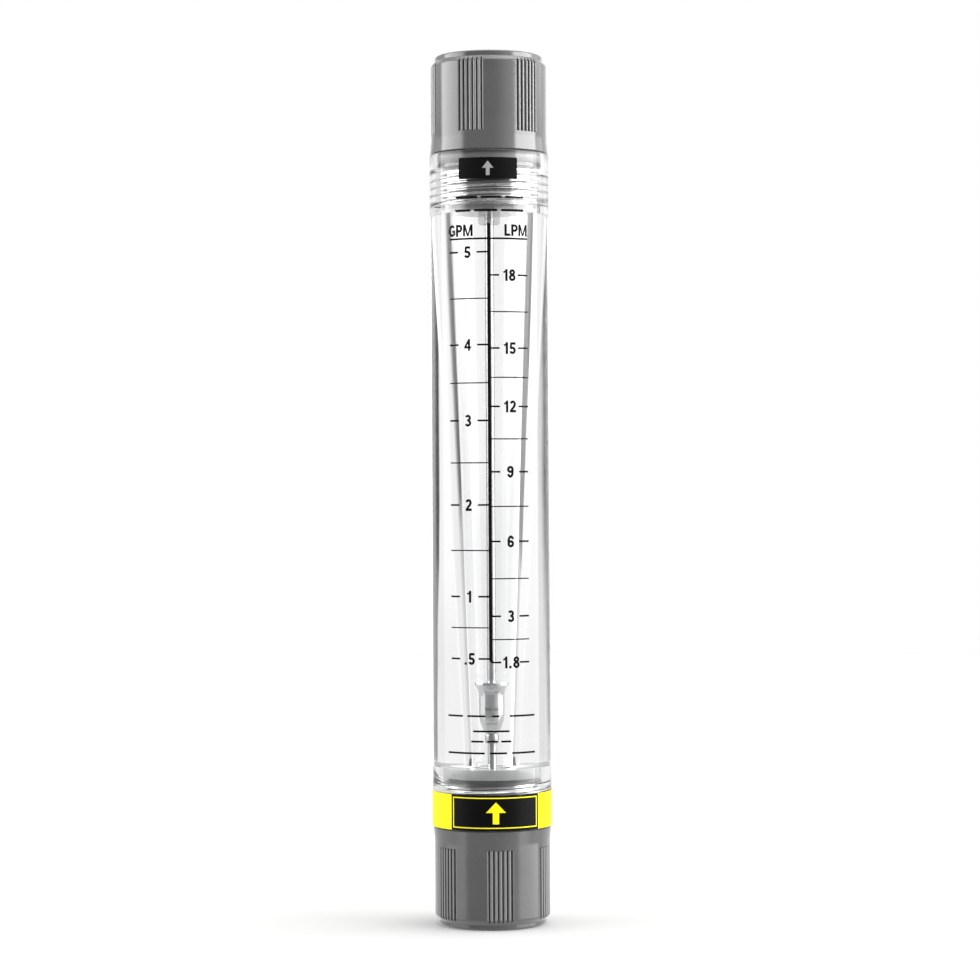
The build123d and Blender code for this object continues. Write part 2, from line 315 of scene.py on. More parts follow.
# ---------------------------------------------------------------------------- materials
def make_acrylic(name, base_rough, rough_span, bump_scale, bump_distance, rings=0.0, tint=(0.985, 0.99, 0.99, 1.0)):
    """Clear cast acrylic. rings adds the fine turned marks of a bored or threaded wall."""
    s = Shader(name)
    p = s.place()
    n = s.noise(p, bump_scale, 3.0)
    fine = s.noise(s.place((1.0, 1.0, 1.0)), bump_scale * 6.0, 2.0)
    height = s.math("ADD", n, s.math("MULTIPLY", fine, 0.15))
    if rings > 0.0:
        marks = s.noise(s.place((40.0, 40.0, 5200.0)), 1.0, 2.0)
        height = s.math("ADD", height, s.math("MULTIPLY", marks, rings))
    rough = s.ramp(n, 0.35, 0.7, base_rough, base_rough + rough_span)
    bsdf = s.principled(
        Base_Color=tint, Roughness=rough, IOR=1.49, Transmission_Weight=1.0,
        Normal=s.bump(height, bump_distance),
    )
    clear = s.add("ShaderNodeBsdfTransparent")
    clear.inputs["Color"].default_value = (0.93, 0.94, 0.94, 1.0)
    path = s.add("ShaderNodeLightPath")
    pick = s.add("ShaderNodeMixShader")
    s.link(path.outputs["Is Shadow Ray"], pick.inputs[0])
    s.link(bsdf.outputs[0], pick.inputs[1])
    s.link(clear.outputs[0], pick.inputs[2])
    return s.out(pick.outputs[0])


def make_abs():
    """Moulded grey ABS: satin gloss, a faint grain, slow changes of tone, and painted highlight and painted shade on
    the grip ribs.
    """
    s = Shader("grey_abs_moulded")
    p = s.place()
    slow = s.noise(p, 90.0, 3.0)
    grain = s.noise(p, 2600.0, 2.0)
    tone = s.math("ADD", s.math("MULTIPLY", slow, 0.55), s.math("MULTIPLY", grain, 0.45))
    colour = s.mix(s.ramp(tone, 0.35, 0.65), (0.078, 0.078, 0.079, 1.0), (0.090, 0.090, 0.091, 1.0))

    # the grip ribs: painted highlight, a paler colour on the lands, and painted shade, a darker colour on the groove
    # floors
    coord = s.add("ShaderNodeTexCoord")
    xyz = s.add("ShaderNodeSeparateXYZ")
    s.link(coord.outputs["Object"], xyz.inputs[0])
    x, y, z = (xyz.outputs[k] for k in "XYZ")
    radius = s.math("SQRT", s.math("ADD", s.math("MULTIPLY", x, x), s.math("MULTIPLY", y, y)))
    from_end = s.math("MINIMUM", z, s.math("SUBTRACT", OVERALL * MM, z))
    group = s.math("SUBTRACT", RIBS_LOW, s.math("MULTIPLY", s.math("GREATER_THAN", z, OVERALL * MM / 2), RIBS_LOW - RIBS_HIGH))
    turned = s.math("SUBTRACT", s.math("DEGREES", s.math("ARCTAN2", y, x)), group)
    off = s.math("ABSOLUTE", s.math("WRAP", turned, 30.0, -30.0))
    zone = s.math("MULTIPLY", s.ramp(off, 12.9, 13.8, 1.0, 0.0), s.ramp(from_end, 0.0209, 0.0213, 1.0, 0.0))
    zone = s.math("MULTIPLY", zone, s.ramp(from_end, 0.0026, 0.0031))
    # painted highlight: the rib lands get a paler colour in place of the light they would catch from the side lights
    colour = s.mix(s.math("MULTIPLY", zone, s.ramp(radius, 0.01522, 0.0154)), colour, (0.195, 0.195, 0.196, 1.0))
    # painted shade: the groove floors get a darker colour
    groove_floor_shade = s.math("MULTIPLY", s.ramp(radius, 0.0149, 0.0151, 1.0, 0.0), s.ramp(radius, 0.0144, 0.0146))
    colour = s.mix(s.math("MULTIPLY", zone, groove_floor_shade), colour, (0.032, 0.032, 0.033, 1.0))
    rough = s.ramp(s.math("ADD", s.math("MULTIPLY", slow, 0.5), s.math("MULTIPLY", grain, 0.5)), 0.35, 0.65, 0.11, 0.17)
    bsdf = s.principled(Base_Color=colour, Roughness=rough, IOR=1.54, Specular_IOR_Level=0.9,
                        Sheen_Weight=0.42, Sheen_Roughness=0.32,
                        Normal=s.bump(s.math("ADD", grain, s.math("MULTIPLY", slow, 0.6)), 0.000008))
    return s.out(bsdf.outputs[0])


def make_steel(name, tone, rough_low, rough_high):
    """Polished stainless steel with fine turning marks round it."""
    s = Shader(name)
    marks = s.noise(s.place((60.0, 60.0, 9000.0)), 1.0, 3.0)
    slow = s.noise(s.place(), 260.0, 2.0)
    colour = s.mix(s.ramp(slow, 0.3, 0.7), (tone * 0.96, tone * 0.965, tone * 0.98, 1.0), (tone, tone, tone, 1.0))
    rough = s.ramp(s.math("ADD", s.math("MULTIPLY", marks, 0.7), s.math("MULTIPLY", slow, 0.3)), 0.35, 0.65, rough_low, rough_high)
    bsdf = s.principled(Base_Color=colour, Metallic=1.0, Roughness=rough, Normal=s.bump(marks, 0.0000012))
    return s.out(bsdf.outputs[0])


def make_plastic(name, low, high, rough_low, rough_high, grain_scale=2200.0, subsurface=0.0, through=0.0, window=0.0):
    s = Shader(name)
    p = s.place()
    slow = s.noise(p, 160.0, 3.0)
    grain = s.noise(p, grain_scale, 2.0)
    colour = s.mix(s.ramp(s.math("ADD", s.math("MULTIPLY", slow, 0.6), s.math("MULTIPLY", grain, 0.4)), 0.35, 0.65), low, high)
    rough = s.ramp(grain, 0.3, 0.7, rough_low, rough_high)
    bsdf = s.principled(Base_Color=colour, Roughness=rough, IOR=1.5, Normal=s.bump(grain, 0.000006))
    if subsurface:
        bsdf.inputs["Subsurface Weight"].default_value = subsurface
        bsdf.inputs["Subsurface Radius"].default_value = (1.0, 1.0, 1.0)
        bsdf.inputs["Subsurface Scale"].default_value = 0.001
    if through:
        # light also comes through from behind
        glow = s.add("ShaderNodeBsdfTranslucent")
        s.link(colour, glow.inputs["Color"])
        both = s.add("ShaderNodeMixShader")
        both.inputs[0].default_value = through
        s.link(bsdf.outputs[0], both.inputs[1])
        s.link(glow.outputs[0], both.inputs[2])
        if not window:
            return s.out(both.outputs[0])
        # natural resin: some of what is behind it shows through
        clear = s.add("ShaderNodeBsdfTransparent")
        clear.inputs["Color"].default_value = (0.97, 0.97, 0.97, 1.0)
        see = s.add("ShaderNodeMixShader")
        s.put(see.inputs[0], s.ramp(slow, 0.3, 0.7, window - 0.04, window + 0.04))
        s.link(both.outputs[0], see.inputs[1])
        s.link(clear.outputs[0], see.inputs[2])
        return s.out(see.outputs[0])
    return s.out(bsdf.outputs[0])


def make_ink(name, low, high):
    """Screen-printed ink: slightly uneven cover and a soft sheen."""
    s = Shader(name)
    p = s.place()
    fine = s.noise(p, 5200.0, 3.0)
    slow = s.noise(p, 300.0, 2.0)
    colour = s.mix(s.ramp(fine, 0.3, 0.7), grey(low), grey(high))
    rough = s.ramp(slow, 0.3, 0.7, 0.48, 0.62)
    bsdf = s.principled(Base_Color=colour, Roughness=rough, IOR=1.45, Specular_IOR_Level=0.12, Normal=s.bump(fine, 0.000003))
    return s.out(bsdf.outputs[0])


def make_label():
    """Yellow film with a black panel at the front, a fine yellow keyline in it and a plain flow arrow."""
    s = Shader("label_film_print")
    coord = s.add("ShaderNodeTexCoord")
    xyz = s.add("ShaderNodeSeparateXYZ")
    s.link(coord.outputs["Object"], xyz.inputs[0])
    x, y, z = (xyz.outputs[k] for k in "XYZ")
    # distance round the body from the middle of the panel, and height from its middle
    round_mm = s.math("MULTIPLY", s.math("ARCTAN2", x, s.math("MULTIPLY", y, -1.0)), BODY_R)
    up_mm = s.math("MULTIPLY", s.math("SUBTRACT", z, 0.0313), 1000.0)
    away = s.math("ABSOLUTE", s.math("SUBTRACT", round_mm, PANEL_MIDDLE))
    panel = s.math("LESS_THAN", away, PANEL_HALF)
    # keyline: a thin frame inside the panel's edge
    frame_out = s.math("MULTIPLY", s.math("LESS_THAN", away, PANEL_HALF - 0.55), s.math("LESS_THAN", s.math("ABSOLUTE", up_mm), 4.1))
    frame_in = s.math("MULTIPLY", s.math("LESS_THAN", away, PANEL_HALF - 0.85), s.math("LESS_THAN", s.math("ABSOLUTE", up_mm), 3.8))
    keyline = s.math("SUBTRACT", frame_out, frame_in)
    # flow arrow: head and stem
    head = s.math("MULTIPLY",
                  s.math("LESS_THAN", away, s.math("MULTIPLY", s.math("SUBTRACT", 2.9, up_mm), 0.95)),
                  s.math("GREATER_THAN", up_mm, 0.1))
    stem = s.math("MULTIPLY", s.math("LESS_THAN", away, 0.85),
                  s.math("MULTIPLY", s.math("LESS_THAN", up_mm, 0.2), s.math("GREATER_THAN", up_mm, -2.9)))
    arrow = s.math("MAXIMUM", head, stem)
    yellow_in = s.math("MAXIMUM", keyline, arrow)
    black = s.math("MULTIPLY", panel, s.math("SUBTRACT", 1.0, yellow_in))
    p = s.place()
    slow = s.noise(p, 120.0, 3.0)
    fine = s.noise(p, 3000.0, 2.0)
    yellow = s.mix(s.ramp(slow, 0.3, 0.7), (0.93, 0.82, 0.010, 1.0), (1.0, 0.87, 0.016, 1.0))
    dark = s.mix(s.ramp(fine, 0.3, 0.7), grey(0.0015), grey(0.004))
    colour = s.mix(black, yellow, dark)
    rough = s.ramp(slow, 0.3, 0.7, 0.36, 0.48)
    bsdf = s.principled(Base_Color=colour, Roughness=rough, IOR=1.48, Specular_IOR_Level=0.10,
                        Normal=s.bump(s.math("ADD", slow, s.math("MULTIPLY", fine, 0.2)), 0.000008))
    return s.out(bsdf.outputs[0])


PANEL_HALF = 12.75  # half the black panel's width, round the body
PANEL_MIDDLE = 0.95

acrylic_polished = make_acrylic("acrylic_polished", 0.0, 0.015, 60.0, 0.0000008)
acrylic_bored = make_acrylic("acrylic_bored", 0.01, 0.03, 110.0, 0.0000008, rings=0.3)
# acrylic_threaded: its darker tint is painted shade that dims the bright side light seen through the threads
acrylic_threaded = make_acrylic("acrylic_threaded", 0.05, 0.08, 300.0, 0.000004, rings=0.6, tint=(0.85, 0.855, 0.855, 1.0))
abs_grey = make_abs()
steel_float = make_steel("stainless_polished", 0.72, 0.10, 0.18)
steel_rod = make_steel("stainless_rod", 0.56, 0.12, 0.22)
holder_pale = make_plastic("holder_moulded_pale", (0.86, 0.86, 0.86, 1.0), (0.92, 0.92, 0.92, 1.0), 0.34, 0.48, 2200.0, 0.0, 0.55, 0.4)
holder_natural = make_plastic("holder_moulded_natural", (0.86, 0.86, 0.86, 1.0), (0.92, 0.92, 0.92, 1.0), 0.34, 0.48, 2200.0, 0.0, 0.6, 0.74)
silicone = make_plastic("silicone_pale", (0.50, 0.50, 0.49, 1.0), (0.58, 0.58, 0.57, 1.0), 0.36, 0.5, 900.0, 0.2)
ink_black = make_ink("screen_print_black", 0.0015, 0.004)
ink_grey = make_ink("screen_print_grey", 0.30, 0.38)
label_print = make_label()


def paint(node, material):
    """Give a carried-over CAD node this material in every slot."""
    ob = nodes[node]
    for slot_number in range(len(ob.material_slots)):
        ob.material_slots[slot_number].material = material


for name in ("inlet_connector", "outlet_connector"):
    paint(name, abs_grey)
for name in ("inlet_o_ring", "outlet_o_ring"):
    paint(name, silicone)
paint("lower_rod_holder", holder_pale)
paint("upper_rod_holder", holder_natural)
paint("label_band", label_print)


# --------------------------------------------------------------------------- clear body
def make_body():
    """Closed shell: polished outside, turned bore, and both pockets with their thread."""
    n = 192
    bm = bmesh.new()
    e = 0.3
    outer = [(PILOT_R + 0.3, BODY_LOW)]
    outer += arc(BODY_R - e, BODY_LOW + e, e, -90, 0, 5)
    outer += between((BODY_R, BODY_LOW + e), (BODY_R, BODY_HIGH - e), 30)
    outer += arc(BODY_R - e, BODY_HIGH - e, e, 0, 90, 5)
    outer += [(PILOT_R + 0.3, BODY_HIGH)]
    lathe_rows(bm, outer, n, 0)
    for end, inward in ((BODY_LOW, 1), (BODY_HIGH, -1)):
        def z(t):
            return end + inward * t

        mouth = [(PILOT_R + 0.3 - 0.3 * math.sin(math.radians(a)), z(0.3 - 0.3 * math.cos(math.radians(a)))) for a in (0, 18, 36, 54, 72, 90)]
        mouth += [(PILOT_R, z(PILOT_DEPTH)), (POCKET_R, z(PILOT_DEPTH)), (POCKET_R, z(PILOT_DEPTH + 0.2))]
        lathe_rows(bm, mouth, n, 2)
        run_out = THREAD_END_LOW if inward > 0 else THREAD_END_HIGH
        low, high = sorted((z(PILOT_DEPTH + 0.2), z(run_out)))
        thread_rows(bm, POCKET_R, 1.08, low, high, BODY_PITCH, n, 0.8, 2)
        floor = FLOOR_LOW if inward > 0 else FLOOR_HIGH
        inner = TAPER_LOW + 0.4 if inward > 0 else TAPER_HIGH
        lathe_rows(bm, [(POCKET_R, z(run_out)), (POCKET_R, floor), ((POCKET_R + inner) / 2, floor), (inner, floor)], n, 3)
    bore = [(TAPER_LOW + 0.4 - 0.4 * math.sin(math.radians(a)), FLOOR_LOW + 0.4 - 0.4 * math.cos(math.radians(a))) for a in (0, 15, 30, 45, 60, 75, 90)]
    start = bore[-1]
    bore += between(start, (TAPER_HIGH, FLOOR_HIGH), 36) + [(TAPER_HIGH, FLOOR_HIGH)]
    lathe_rows(bm, bore, n, 1)
    body = finish_mesh("clear_body", bm, [acrylic_polished, acrylic_bored, acrylic_threaded, acrylic_bored], 40.0)
    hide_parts("measuring_tube")
    return body


clear_body = make_body()


# ------------------------------------------------------------- threads of the connectors
# Body thread on each spigot: its ridge runs in the middle of the body's groove.
def spigot_thread(name, end, inward):
    low, high = sorted((end + inward * 4.2, end + inward * 12.1))
    zone_low = end + PILOT_DEPTH + 0.2 if inward > 0 else end - THREAD_END_HIGH
    # the body's groove has its middle at zone_low + pitch * (k + turn)
    k = math.ceil((low + 0.3 - zone_low) / BODY_PITCH)
    start = zone_low + BODY_PITCH * k
    turns = (high - 0.3 - start) / BODY_PITCH
    return helical_ridge(name, 12.2, 13.4, start, start + turns * BODY_PITCH, BODY_PITCH, 0.80, 0.10, 0.0,
                         abs_grey, n=144)


spigot_thread("inlet_spigot_thread", BODY_LOW, 1)
spigot_thread("outlet_spigot_thread", BODY_HIGH, -1)
# Pipe thread inside each connector's mouth.
helical_ridge("inlet_pipe_thread", 10.49, 9.34, 1.2, 15.2, PIPE_PITCH, 0.78, 0.14, 0.0, abs_grey)
helical_ridge("outlet_pipe_thread", 10.49, 9.34, OVERALL - 15.2, OVERALL - 1.2, PIPE_PITCH, 0.78, 0.14, 0.0, abs_grey)


# ------------------------------------------------------------------ float, rod and stop
def make_turned(name, node, profile, material, n, body, closed):
    bm = bmesh.new()
    lathe_rows(bm, profile, n, 0, closed)
    ob = finish_mesh(name, bm, [material], 30.0, body)
    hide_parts(node)
    return ob


top, bottom, head_r, stem_r, nose_r, bore_r = 65.1, 51.0, 4.65, 3.5, 1.75, 1.28
float_profile = [(bore_r, top - 0.25), (bore_r + 0.25, top)]
float_profile += between((bore_r + 0.25, top), (head_r - 0.12, top), 6)
float_profile += [(head_r - 0.12, top), (head_r - 0.03, top - 0.04), (head_r, top - 0.12), (head_r - 0.05, top - 0.8), (head_r - 0.25, top - 1.0)]
float_profile += arc_through((head_r - 0.25, top - 1.0), (3.79, top - 2.15), (stem_r, top - 3.9), 18)[1:]
float_profile += between((stem_r, top - 3.9), (stem_r, 56.6), 10)
float_profile += arc_through((stem_r, 56.6), (3.02, 53.9), (nose_r, bottom + 0.2), 20)
float_profile += [(nose_r - 0.18, bottom), (bore_r, bottom)]
float_profile += between((bore_r, bottom), (bore_r, top - 0.25), 12)
float_piece = make_turned("float_turned", "float", float_profile, steel_float, 128, "float", True)

rod_profile = [(0, 38.0), (0.9, 38.0), (ROD_R, 38.3)]
rod_profile += between((ROD_R, 38.3), (ROD_R, 191.7), 60)
rod_profile += [(ROD_R, 191.7), (0.9, 192.0), (0, 192.0)]
rod_piece = make_turned("guide_rod_ground", "guide_rod", rod_profile, steel_rod, 64, "meter_body", False)

stop_low, stop_high = 48.65, 50.95
stop_profile = [(ROD_R, stop_low)] + arc(1.65, stop_low + 0.25, 0.25, -90, 0, 4) + arc(1.65, stop_high - 0.25, 0.25, 0, 90, 4) + [(ROD_R, stop_high)]
stop_piece = make_turned("lower_stop_turned", "lower_stop", stop_profile, steel_rod, 96, "meter_body", True)


# -------------------------------------------------------------------------------- print
INK_IN, INK_OUT = BODY_R + 0.004, BODY_R + 0.03


def wrap(across, up, r):
    """A point of the flat print, in millimetres across and up, on the body's front."""
    a = across / BODY_R
    return (r * math.sin(a), -r * math.cos(a), up)


def seen(x):
    """Distance round the body of a point that is seen x to the right of the axis."""
    return BODY_R * math.asin(max(-1.0, min(1.0, x / BODY_R)))


def ink_shapes(bm, shapes, holes=(), r_in=INK_IN, r_out=INK_OUT, step=0.3):
    """Ink over the union of flat outlines of (across, up) points, less the holes. It is
    cut into narrow strips, wrapped round the body and given its thickness."""
    points, loops = [], []
    for outline in list(shapes) + list(holes):
        turn = sum(a[0] * b[1] - b[0] * a[1] for a, b in zip(outline, list(outline[1:]) + [outline[0]]))
        if turn < 0:
            outline = list(outline)[::-1]
        loops.append(list(range(len(points), len(points) + len(outline))))
        points += [Vector((x, z)) for x, z in outline]
    verts, _, faces, _, _, source = delaunay_2d_cdt(points, [], loops, 1, 1e-5, True)
    count = len(shapes)
    flat = bmesh.new()
    placed = [flat.verts.new((v.x, 0.0, v.y)) for v in verts]
    for face, origin in zip(faces, source):
        if any(k < count for k in origin) and not any(k >= count for k in origin):
            flat.faces.new([placed[k] for k in face])
    bmesh.ops.delete(flat, geom=[v for v in flat.verts if not v.link_faces], context="VERTS")
    xs = [v.co.x for v in flat.verts]
    low, high = min(xs), max(xs)
    cut = math.floor(low / step) * step + step
    while cut < high - 1e-3:
        bmesh.ops.bisect_plane(
            flat, geom=list(flat.verts) + list(flat.edges) + list(flat.faces),
            dist=1e-5, plane_co=(cut, 0, 0), plane_no=(1, 0, 0),
        )
        cut += step
    bmesh.ops.remove_doubles(flat, verts=flat.verts, dist=2e-4)
    flat.verts.index_update()
    outer = [bm.verts.new(wrap(v.co.x, v.co.z, r_out)) for v in flat.verts]
    inner = [bm.verts.new(wrap(v.co.x, v.co.z, r_in)) for v in flat.verts]
    for f in flat.faces:
        bm.faces.new([outer[v.index] for v in f.verts])
        bm.faces.new([inner[v.index] for v in reversed(f.verts)])
    for e in flat.edges:
        if len(e.link_faces) == 1:
            a, b = e.verts[0].index, e.verts[1].index
            bm.faces.new([outer[a], outer[b], inner[b], inner[a]])
    flat.free()


def ink_outline(bm, outline):
    ink_shapes(bm, [outline])


def ink_box(bm, x0, x1, z0, z1):
    ink_outline(bm, [(x0, z0), (x1, z0), (x1, z1), (x0, z1)])


def rounded_box(x0, x1, z0, z1, r, n=6):
    out = []
    for cx, cz, a0 in ((x1 - r, z0 + r, -90), (x1 - r, z1 - r, 0), (x0 + r, z1 - r, 90), (x0 + r, z0 + r, 180)):
        for k in range(n + 1):
            a = math.radians(a0 + 90 * k / n)
            out.append((cx + r * math.cos(a), cz + r * math.sin(a)))
    return out


def ink_object(name, bm, ink=None):
    me = bpy.data.meshes.new(name)
    bmesh.ops.recalc_face_normals(bm, faces=bm.faces)
    bm.to_mesh(me)
    bm.free()
    me.transform(Matrix.Scale(MM, 4))
    me.materials.append(ink or ink_black)
    ob = bpy.data.objects.new(name, me)
    scene.collection.objects.link(ob)
    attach(ob, "meter_body")
    return ob


def curve_of(cx, cy, rx, ry, a0, a1, n=14):
    """Centreline points of an elliptical arc, angles in degrees."""
    return [(cx + rx * math.cos(math.radians(a0 + (a1 - a0) * k / n)), cy + ry * math.sin(math.radians(a0 + (a1 - a0) * k / n))) for k in range(n + 1)]


def ribbon(line, wide, closed=False):
    """Quads along a centreline, each sharing its mitred ends with the next."""
    count = len(line)
    sides = []
    for k in range(count):
        if closed:
            before, after = line[(k - 1) % count], line[(k + 1) % count]
        else:
            before, after = line[max(0, k - 1)], line[min(count - 1, k + 1)]
        ax, ay = line[k][0] - before[0], line[k][1] - before[1]
        bx, by = after[0] - line[k][0], after[1] - line[k][1]
        la, lb = math.hypot(ax, ay), math.hypot(bx, by)
        if la < 1e-9:
            ax, ay, la = bx, by, lb
        if lb < 1e-9:
            bx, by, lb = ax, ay, la
        nx, ny = -(ay / la + by / lb), ax / la + bx / lb
        size = math.hypot(nx, ny)
        nx, ny = nx / size, ny / size
        grow = 1.0 / max(0.5, -ay / la * nx + ax / la * ny)
        d = wide / 2 * grow
        sides.append(((line[k][0] + nx * d, line[k][1] + ny * d), (line[k][0] - nx * d, line[k][1] - ny * d)))
    pairs = list(zip(sides, sides[1:]))
    if closed:
        pairs.append((sides[-1], sides[0]))
    return [[a[1], b[1], b[0], a[0]] for a, b in pairs]


S = 0.205  # stroke, of a cap height of 1
H = S / 2


def figure_strokes(c):
    """The strokes of a plain bold condensed figure or unit letter, and its width."""
    if c == "1":
        return ribbon([(0.30, 0.0), (0.30, 1.0)], S) + ribbon([(0.32, 0.92), (0.20, 0.79), (0.04, 0.73)], S * 0.75), 0.42
    if c == "2":
        line = curve_of(0.29, 0.70, 0.185, 0.2, 165, -24, 16) + [(0.40, 0.50), (0.24, 0.30), (0.13, 0.12)]
        return ribbon(line, S) + ribbon([(0.02, H), (0.58, H)], S), 0.6
    if c == "3":
        return (ribbon(curve_of(0.275, 0.73, 0.175, 0.17, 158, -80, 16), S)
                + ribbon(curve_of(0.275, 0.295, 0.2, 0.195, 82, -160, 18), S)
                + ribbon([(0.19, 0.525), (0.33, 0.525)], S * 0.8)), 0.59
    if c == "4":
        return (ribbon([(0.42, 0.0), (0.42, 1.0)], S * 0.95) + ribbon([(0.0, 0.285), (0.62, 0.285)], S * 0.85)
                + ribbon([(0.425, 0.95), (0.08, 0.33)], S * 0.8)), 0.62
    if c == "5":
        return (ribbon([(0.11, 1.0 - H), (0.55, 1.0 - H)], S) + ribbon([(0.16, 0.93), (0.125, 0.46)], S * 0.85)
                + ribbon(curve_of(0.28, 0.315, 0.2, 0.215, 140, -160, 20), S)), 0.59
    if c in "69":
        strokes = (ribbon(curve_of(0.30, 0.30, 0.195, 0.2, 0, 360, 26)[:-1], S, True)
                   + ribbon(curve_of(0.31, 0.53, 0.205, 0.37, 196, 26, 18), S))
        if c == "9":
            strokes = [[(0.6 - x, 1.0 - y) for x, y in q] for q in strokes]
        return strokes, 0.6
    if c == "8":
        return (ribbon(curve_of(0.30, 0.735, 0.165, 0.165, 0, 360, 24)[:-1], S, True)
                + ribbon(curve_of(0.30, 0.295, 0.195, 0.195, 0, 360, 24)[:-1], S, True)), 0.6
    if c == ".":
        return [[(0.04, 0.0), (0.04 + S, 0.0), (0.04 + S, S), (0.04, S)]], 0.29
    if c == "G":
        return (ribbon(curve_of(0.34, 0.50, 0.245, 0.4, 42, 318, 24), S)
                + ribbon([(0.56, 0.12), (0.56, 0.48)], S * 0.85) + ribbon([(0.36, 0.45), (0.645, 0.45)], S * 0.8)), 0.68
    if c == "P":
        return (ribbon([(H, 0.0), (H, 1.0)], S) + ribbon([(H, 1.0 - H), (0.32, 1.0 - H)], S)
                + ribbon(curve_of(0.32, 0.675, 0.19, 0.2225, 90, -90, 14), S) + ribbon([(H, 0.4525), (0.32, 0.4525)], S)), 0.62
    if c == "M":
        return (ribbon([(0.09, 0.0), (0.09, 1.0)], 0.18) + ribbon([(0.76, 0.0), (0.76, 1.0)], 0.18)
                + [[(0.03, 1.0), (0.20, 1.0), (0.485, 0.0), (0.365, 0.0)]]
                + [[(0.65, 1.0), (0.82, 1.0), (0.485, 0.0), (0.365, 0.0)]]), 0.85
    if c == "L":
        return ribbon([(H, 0.0), (H, 1.0)], S) + ribbon([(0.0, H), (0.52, H)], S), 0.56
    raise ValueError(c)


def ink_text(bm, body, middle, foot, height, gap=0.06, fit=None):
    """Print figures with their middle at (middle, foot), cap height as given. fit sets
    the whole width."""
    shapes, at = [], 0.0
    for c in body:
        strokes, width = figure_strokes(c)
        shapes.append([[(x + at, y) for x, y in q] for q in strokes])
        at += width + gap
    at -= gap
    kx = height if fit is None else fit / at
    for strokes in shapes:
        ink_shapes(bm, [[((x - at / 2) * kx + middle, y * height + foot) for x, y in q] for q in strokes])


# the scale's lines: heights of the marks on the left (gallons) and right (litres)
LEFT_MAJOR = [("5", 179.41), ("4", 154.94), ("3", 134.93), ("2", 112.65), ("1", 88.45), (".5", 72.03)]
LEFT_MINOR = [167.15, 144.87, 123.78, 100.63, 80.23]
RIGHT_MAJOR = [("18", 173.29), ("15", 154.02), ("12", 138.62), ("9", 121.38), ("6", 103.0), ("3", 83.26), ("1.8", 71.08)]
RIGHT_MINOR = [163.61, 146.29, 130.05, 112.23, 93.17, 77.12]
LINE_TOP, LINE_FOOT = 186.97, 71.08
HEADER = 182.94
LINE_X = -0.17

lines = bmesh.new()
ink_box(lines, LINE_X - 0.43, LINE_X + 0.43, LINE_FOOT + 0.9, LINE_TOP)
# the foot of the line turns into the last right-hand mark with a round corner
foot = [(LINE_X - 0.43, LINE_FOOT + 0.9)]
foot += [(LINE_X + 0.77 - 1.2 * math.cos(math.radians(a)), LINE_FOOT + 0.965 - 1.2 * math.sin(math.radians(a))) for a in (5, 20, 35, 50, 65, 80, 90)]
foot += [(seen(2.56), LINE_FOOT - 0.235), (seen(2.56), LINE_FOOT + 0.235)]
foot += [(LINE_X + 0.83, LINE_FOOT + 0.235), (LINE_X + 0.57, LINE_FOOT + 0.33), (LINE_X + 0.445, LINE_FOOT + 0.55), (LINE_X + 0.43, LINE_FOOT + 0.9)]
ink_outline(lines, foot)
ink_box(lines, seen(-10.5), seen(10.0), HEADER - 0.24, HEADER + 0.24)
for text, z in LEFT_MAJOR:
    ink_box(lines, seen(-10.54), seen(-8.27), z - 0.235, z + 0.235)
    ink_box(lines, seen(-3.37), LINE_X - 0.3, z - 0.235, z + 0.235)
for text, z in RIGHT_MAJOR:
    if text != "1.8":
        ink_box(lines, LINE_X + 0.3, seen(2.56), z - 0.235, z + 0.235)
    ink_box(lines, seen(7.46), seen(9.98), z - 0.235, z + 0.235)
for z in LEFT_MINOR:
    ink_box(lines, seen(-10.5), LINE_X - 0.3, z - 0.155, z + 0.155)
for z in RIGHT_MINOR:
    ink_box(lines, LINE_X + 0.3, seen(9.98), z - 0.155, z + 0.155)
ink_object("scale_lines", lines)

figures = bmesh.new()
for text, z in LEFT_MAJOR:
    ink_text(figures, text, seen(-5.82), z - 1.58, 3.12, gap=0.1)
for text, z in RIGHT_MAJOR:
    ink_text(figures, text, seen(5.25), z - 1.58, 3.12, gap=0.1)
ink_text(figures, "GPM", seen(-7.7), 183.6, 3.1, fit=7.2)
ink_text(figures, "LPM", seen(7.1), 183.6, 3.1, fit=6.6)
ink_object("scale_figures", figures)

# plain plate with a flow arrow, and plain rules, above and below the scale
marks = bmesh.new()
plate_low, plate_high, plate_x0, plate_x1 = 198.7, 204.35, seen(-8.0), seen(7.45)
plate_mid = (plate_x0 + plate_x1) / 2
arrow_low, arrow_high = plate_low + 0.9, plate_high - 0.9
arrow = [(-0.5, arrow_low), (0.5, arrow_low), (0.5, arrow_high - 1.9), (1.5, arrow_high - 1.9), (0.0, arrow_high), (-1.5, arrow_high - 1.9), (-0.5, arrow_high - 1.9)]
ink_shapes(marks, [rounded_box(plate_x0, plate_x1, plate_low, plate_high, 0.35)])
plate_arrow = bmesh.new()
ink_shapes(plate_arrow, [[(plate_mid + x, z) for x, z in arrow]], (), INK_OUT + 0.002, INK_OUT + 0.02)
ink_object("plate_arrow", plate_arrow, ink_grey)


def rules(z, spans, thick):
    for x0, x1 in spans:
        ink_outline(marks, rounded_box(seen(x0), seen(x1), z - thick / 2, z + thick / 2, thick * 0.42, 3))


rules(193.9, [(-8.9, -3.1), (-2.2, 3.4), (4.2, 9.0)], 0.62)
rules(190.4, [(-8.9, -4.9), (-4.0, 2.2), (3.1, 9.0)], 0.62)
rules(56.9, [(-11.5, -7.6), (-6.5, -1.6), (0.1, 2.0), (4.7, 11.3)], 0.5)
rules(52.9, [(-5.0, 4.7)], 0.5)
rules(50.2, [(-5.5, -2.2), (-1.3, 1.6), (2.4, 5.2)], 0.5)
rules(47.1, [(-11.5, -1.9), (-0.6, 4.0), (5.2, 11.4)], 0.5)
ink_object("scale_marks", marks)


